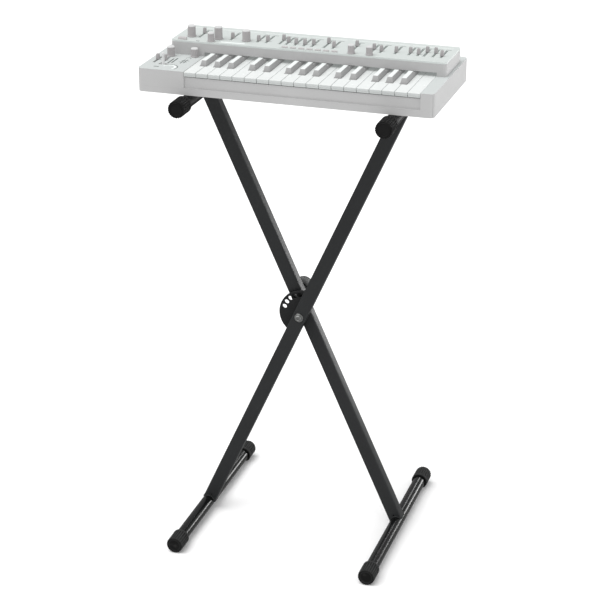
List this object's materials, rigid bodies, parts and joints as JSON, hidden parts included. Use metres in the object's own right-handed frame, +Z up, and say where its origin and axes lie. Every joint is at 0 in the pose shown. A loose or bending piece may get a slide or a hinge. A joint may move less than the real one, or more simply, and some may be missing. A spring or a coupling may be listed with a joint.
{
  "type": "folding stand with keyboard instrument",
  "caption": "Folding cross-leg stand with a pull-pin height lock, carrying a small synthesizer keyboard with keys, knobs, sliders and a bender lever.",
  "frame": {"origin": "on the floor, under the legs' pivot bolt and midway between the two feet; the keyboard overhangs to the player's left", "axes": "+X to the player's right, +Y away from the player, +Z up"},
  "size_m": [0.561, 0.439, 0.9901],
  "materials": {
    "leg_coat": "satin black powder coat",
    "tube_coat": "gloss black enamel",
    "cap_rubber": "matt black ribbed rubber",
    "disc_coat": "satin black enamel",
    "zinc_steel": "bright zinc plate",
    "spring_steel": "bright drawn wire",
    "grip_plastic": "ribbed moulded grip",
    "case_plastic": "fine textured moulding",
    "panel_paint": "satin pale enamel",
    "bed_steel": "galvanised sheet",
    "board_laminate": "solder resist on laminate",
    "control_plastic": "satin moulding",
    "button_plastic": "satin moulding",
    "white_key_plastic": "polished",
    "black_key_plastic": "polished, ghosted pale grey"
  },
  "bodies": {
    "floor_caps": {"left_foot_caps": "cap_rubber"},
    "front_frame": {"front_leg": "leg_coat", "left_foot_tube": "tube_coat", "right_arm_tube": "tube_coat", "adjuster_disc": "disc_coat", "pivot_bolt": "zinc_steel", "pivot_washers": "zinc_steel", "pivot_nut": "zinc_steel"},
    "rear_frame": {"rear_leg": "leg_coat", "right_foot_tube": "tube_coat", "right_foot_caps": "cap_rubber", "left_arm_tube": "tube_coat", "left_arm_caps": "cap_rubber", "lock_housing": "disc_coat", "lock_spring": "spring_steel"},
    "lock_plunger": {"lock_pin": "zinc_steel", "pull_knob": "grip_plastic"},
    "arm_pads": {"right_arm_caps": "cap_rubber"},
    "instrument": {"bottom_case": "case_plastic", "top_case": "case_plastic", "rear_housing": "case_plastic", "control_panel": "panel_paint", "key_bed": "bed_steel", "circuit_board": "board_laminate", "rotary_knobs": "control_plastic", "slider_caps": "control_plastic", "panel_buttons": "button_plastic"},
    "bender": {"bender_lever": "control_plastic"},
    "white_key_01": {"white_key_01": "white_key_plastic"},
    "white_key_02": {"white_key_02": "white_key_plastic"},
    "white_key_03": {"white_key_03": "white_key_plastic"},
    "white_key_04": {"white_key_04": "white_key_plastic"},
    "white_key_05": {"white_key_05": "white_key_plastic"},
    "white_key_06": {"white_key_06": "white_key_plastic"},
    "white_key_07": {"white_key_07": "white_key_plastic"},
    "white_key_08": {"white_key_08": "white_key_plastic"},
    "white_key_09": {"white_key_09": "white_key_plastic"},
    "white_key_10": {"white_key_10": "white_key_plastic"},
    "white_key_11": {"white_key_11": "white_key_plastic"},
    "white_key_12": {"white_key_12": "white_key_plastic"},
    "white_key_13": {"white_key_13": "white_key_plastic"},
    "white_key_14": {"white_key_14": "white_key_plastic"},
    "white_key_15": {"white_key_15": "white_key_plastic"},
    "white_key_16": {"white_key_16": "white_key_plastic"},
    "white_key_17": {"white_key_17": "white_key_plastic"},
    "white_key_18": {"white_key_18": "white_key_plastic"},
    "white_key_19": {"white_key_19": "white_key_plastic"},
    "black_key_01": {"black_key_01": "black_key_plastic"},
    "black_key_02": {"black_key_02": "black_key_plastic"},
    "black_key_03": {"black_key_03": "black_key_plastic"},
    "black_key_04": {"black_key_04": "black_key_plastic"},
    "black_key_05": {"black_key_05": "black_key_plastic"},
    "black_key_06": {"black_key_06": "black_key_plastic"},
    "black_key_07": {"black_key_07": "black_key_plastic"},
    "black_key_08": {"black_key_08": "black_key_plastic"},
    "black_key_09": {"black_key_09": "black_key_plastic"},
    "black_key_10": {"black_key_10": "black_key_plastic"},
    "black_key_11": {"black_key_11": "black_key_plastic"},
    "black_key_12": {"black_key_12": "black_key_plastic"},
    "black_key_13": {"black_key_13": "black_key_plastic"}
  },
  "joints": [
    {"name": "scissor_fold", "type": "hinge", "parent": "front_frame", "child": "rear_frame", "pos_m": [0, -0.0135, 0.44923], "axis": [0, 1, 0], "range_deg": [-16.5, 42]},
    {"name": "left_foot_turn", "type": "hinge", "parent": "floor_caps", "child": "front_frame", "pos_m": [-0.19466, 0, 0.0165], "axis": [0, 1, 0], "range_deg": [-21, 8.25]},
    {"name": "arm_pad_turn", "type": "hinge", "parent": "front_frame", "child": "arm_pads", "pos_m": [0.19466, 0, 0.88197], "axis": [0, 1, 0], "range_deg": [-8.25, 21]},
    {"name": "instrument_shift", "type": "slide", "parent": "arm_pads", "child": "instrument", "axis": [1, 0, 0], "range_m": [-0.066, 0.168]},
    {"name": "lock_pull", "type": "slide", "parent": "rear_frame", "child": "lock_plunger", "axis": [0, 1, 0], "range_m": [-0.0055, 0.008], "stiffness_N_per_m": 300, "deforming": ["lock_spring"]},
    {"name": "bender_swing", "type": "hinge", "parent": "instrument", "child": "bender", "pos_m": [-0.2535, -0.069, 0.93257], "axis": [0, 1, 0], "range_deg": [-18, 18], "stiffness_Nm_per_rad": 0.03},
    {"name": "white_key_01_press", "type": "hinge", "parent": "instrument", "child": "white_key_01", "pos_m": [0, 0.092, 0.93007], "axis": [1, 0, 0], "range_deg": [0, 2], "stiffness_Nm_per_rad": 0.8, "springref_deg": -8.59},
    {"name": "white_key_02_press", "type": "hinge", "parent": "instrument", "child": "white_key_02", "pos_m": [0, 0.092, 0.93007], "axis": [1, 0, 0], "range_deg": [0, 2], "stiffness_Nm_per_rad": 0.8, "springref_deg": -8.59},
    {"name": "white_key_03_press", "type": "hinge", "parent": "instrument", "child": "white_key_03", "pos_m": [0, 0.092, 0.93007], "axis": [1, 0, 0], "range_deg": [0, 2], "stiffness_Nm_per_rad": 0.8, "springref_deg": -8.59},
    {"name": "white_key_04_press", "type": "hinge", "parent": "instrument", "child": "white_key_04", "pos_m": [0, 0.092, 0.93007], "axis": [1, 0, 0], "range_deg": [0, 2], "stiffness_Nm_per_rad": 0.8, "springref_deg": -8.59},
    {"name": "white_key_05_press", "type": "hinge", "parent": "instrument", "child": "white_key_05", "pos_m": [0, 0.092, 0.93007], "axis": [1, 0, 0], "range_deg": [0, 2], "stiffness_Nm_per_rad": 0.8, "springref_deg": -8.59},
    {"name": "white_key_06_press", "type": "hinge", "parent": "instrument", "child": "white_key_06", "pos_m": [0, 0.092, 0.93007], "axis": [1, 0, 0], "range_deg": [0, 2], "stiffness_Nm_per_rad": 0.8, "springref_deg": -8.59},
    {"name": "white_key_07_press", "type": "hinge", "parent": "instrument", "child": "white_key_07", "pos_m": [0, 0.092, 0.93007], "axis": [1, 0, 0], "range_deg": [0, 2], "stiffness_Nm_per_rad": 0.8, "springref_deg": -8.59},
    {"name": "white_key_08_press", "type": "hinge", "parent": "instrument", "child": "white_key_08", "pos_m": [0, 0.092, 0.93007], "axis": [1, 0, 0], "range_deg": [0, 2], "stiffness_Nm_per_rad": 0.8, "springref_deg": -8.59},
    {"name": "white_key_09_press", "type": "hinge", "parent": "instrument", "child": "white_key_09", "pos_m": [0, 0.092, 0.93007], "axis": [1, 0, 0], "range_deg": [0, 2], "stiffness_Nm_per_rad": 0.8, "springref_deg": -8.59},
    {"name": "white_key_10_press", "type": "hinge", "parent": "instrument", "child": "white_key_10", "pos_m": [0, 0.092, 0.93007], "axis": [1, 0, 0], "range_deg": [0, 2], "stiffness_Nm_per_rad": 0.8, "springref_deg": -8.59},
    {"name": "white_key_11_press", "type": "hinge", "parent": "instrument", "child": "white_key_11", "pos_m": [0, 0.092, 0.93007], "axis": [1, 0, 0], "range_deg": [0, 2], "stiffness_Nm_per_rad": 0.8, "springref_deg": -8.59},
    {"name": "white_key_12_press", "type": "hinge", "parent": "instrument", "child": "white_key_12", "pos_m": [0, 0.092, 0.93007], "axis": [1, 0, 0], "range_deg": [0, 2], "stiffness_Nm_per_rad": 0.8, "springref_deg": -8.59},
    {"name": "white_key_13_press", "type": "hinge", "parent": "instrument", "child": "white_key_13", "pos_m": [0, 0.092, 0.93007], "axis": [1, 0, 0], "range_deg": [0, 2], "stiffness_Nm_per_rad": 0.8, "springref_deg": -8.59},
    {"name": "white_key_14_press", "type": "hinge", "parent": "instrument", "child": "white_key_14", "pos_m": [0, 0.092, 0.93007], "axis": [1, 0, 0], "range_deg": [0, 2], "stiffness_Nm_per_rad": 0.8, "springref_deg": -8.59},
    {"name": "white_key_15_press", "type": "hinge", "parent": "instrument", "child": "white_key_15", "pos_m": [0, 0.092, 0.93007], "axis": [1, 0, 0], "range_deg": [0, 2], "stiffness_Nm_per_rad": 0.8, "springref_deg": -8.59},
    {"name": "white_key_16_press", "type": "hinge", "parent": "instrument", "child": "white_key_16", "pos_m": [0, 0.092, 0.93007], "axis": [1, 0, 0], "range_deg": [0, 2], "stiffness_Nm_per_rad": 0.8, "springref_deg": -8.59},
    {"name": "white_key_17_press", "type": "hinge", "parent": "instrument", "child": "white_key_17", "pos_m": [0, 0.092, 0.93007], "axis": [1, 0, 0], "range_deg": [0, 2], "stiffness_Nm_per_rad": 0.8, "springref_deg": -8.59},
    {"name": "white_key_18_press", "type": "hinge", "parent": "instrument", "child": "white_key_18", "pos_m": [0, 0.092, 0.93007], "axis": [1, 0, 0], "range_deg": [0, 2], "stiffness_Nm_per_rad": 0.8, "springref_deg": -8.59},
    {"name": "white_key_19_press", "type": "hinge", "parent": "instrument", "child": "white_key_19", "pos_m": [0, 0.092, 0.93007], "axis": [1, 0, 0], "range_deg": [0, 2], "stiffness_Nm_per_rad": 0.8, "springref_deg": -8.59},
    {"name": "black_key_01_press", "type": "hinge", "parent": "instrument", "child": "black_key_01", "pos_m": [0, 0.092, 0.93007], "axis": [1, 0, 0], "range_deg": [0, 2.4], "stiffness_Nm_per_rad": 0.8, "springref_deg": -8.59},
    {"name": "black_key_02_press", "type": "hinge", "parent": "instrument", "child": "black_key_02", "pos_m": [0, 0.092, 0.93007], "axis": [1, 0, 0], "range_deg": [0, 2.4], "stiffness_Nm_per_rad": 0.8, "springref_deg": -8.59},
    {"name": "black_key_03_press", "type": "hinge", "parent": "instrument", "child": "black_key_03", "pos_m": [0, 0.092, 0.93007], "axis": [1, 0, 0], "range_deg": [0, 2.4], "stiffness_Nm_per_rad": 0.8, "springref_deg": -8.59},
    {"name": "black_key_04_press", "type": "hinge", "parent": "instrument", "child": "black_key_04", "pos_m": [0, 0.092, 0.93007], "axis": [1, 0, 0], "range_deg": [0, 2.4], "stiffness_Nm_per_rad": 0.8, "springref_deg": -8.59},
    {"name": "black_key_05_press", "type": "hinge", "parent": "instrument", "child": "black_key_05", "pos_m": [0, 0.092, 0.93007], "axis": [1, 0, 0], "range_deg": [0, 2.4], "stiffness_Nm_per_rad": 0.8, "springref_deg": -8.59},
    {"name": "black_key_06_press", "type": "hinge", "parent": "instrument", "child": "black_key_06", "pos_m": [0, 0.092, 0.93007], "axis": [1, 0, 0], "range_deg": [0, 2.4], "stiffness_Nm_per_rad": 0.8, "springref_deg": -8.59},
    {"name": "black_key_07_press", "type": "hinge", "parent": "instrument", "child": "black_key_07", "pos_m": [0, 0.092, 0.93007], "axis": [1, 0, 0], "range_deg": [0, 2.4], "stiffness_Nm_per_rad": 0.8, "springref_deg": -8.59},
    {"name": "black_key_08_press", "type": "hinge", "parent": "instrument", "child": "black_key_08", "pos_m": [0, 0.092, 0.93007], "axis": [1, 0, 0], "range_deg": [0, 2.4], "stiffness_Nm_per_rad": 0.8, "springref_deg": -8.59},
    {"name": "black_key_09_press", "type": "hinge", "parent": "instrument", "child": "black_key_09", "pos_m": [0, 0.092, 0.93007], "axis": [1, 0, 0], "range_deg": [0, 2.4], "stiffness_Nm_per_rad": 0.8, "springref_deg": -8.59},
    {"name": "black_key_10_press", "type": "hinge", "parent": "instrument", "child": "black_key_10", "pos_m": [0, 0.092, 0.93007], "axis": [1, 0, 0], "range_deg": [0, 2.4], "stiffness_Nm_per_rad": 0.8, "springref_deg": -8.59},
    {"name": "black_key_11_press", "type": "hinge", "parent": "instrument", "child": "black_key_11", "pos_m": [0, 0.092, 0.93007], "axis": [1, 0, 0], "range_deg": [0, 2.4], "stiffness_Nm_per_rad": 0.8, "springref_deg": -8.59},
    {"name": "black_key_12_press", "type": "hinge", "parent": "instrument", "child": "black_key_12", "pos_m": [0, 0.092, 0.93007], "axis": [1, 0, 0], "range_deg": [0, 2.4], "stiffness_Nm_per_rad": 0.8, "springref_deg": -8.59},
    {"name": "black_key_13_press", "type": "hinge", "parent": "instrument", "child": "black_key_13", "pos_m": [0, 0.092, 0.93007], "axis": [1, 0, 0], "range_deg": [0, 2.4], "stiffness_Nm_per_rad": 0.8, "springref_deg": -8.59}
  ],
  "couplings": [
    {"joint": "left_foot_turn", "follows": "scissor_fold", "ratio": -0.5},
    {"joint": "arm_pad_turn", "follows": "scissor_fold", "ratio": 0.5},
    {"joint": "instrument_shift", "follows": "scissor_fold", "m_per_rad": 0.2289}
  ]
}
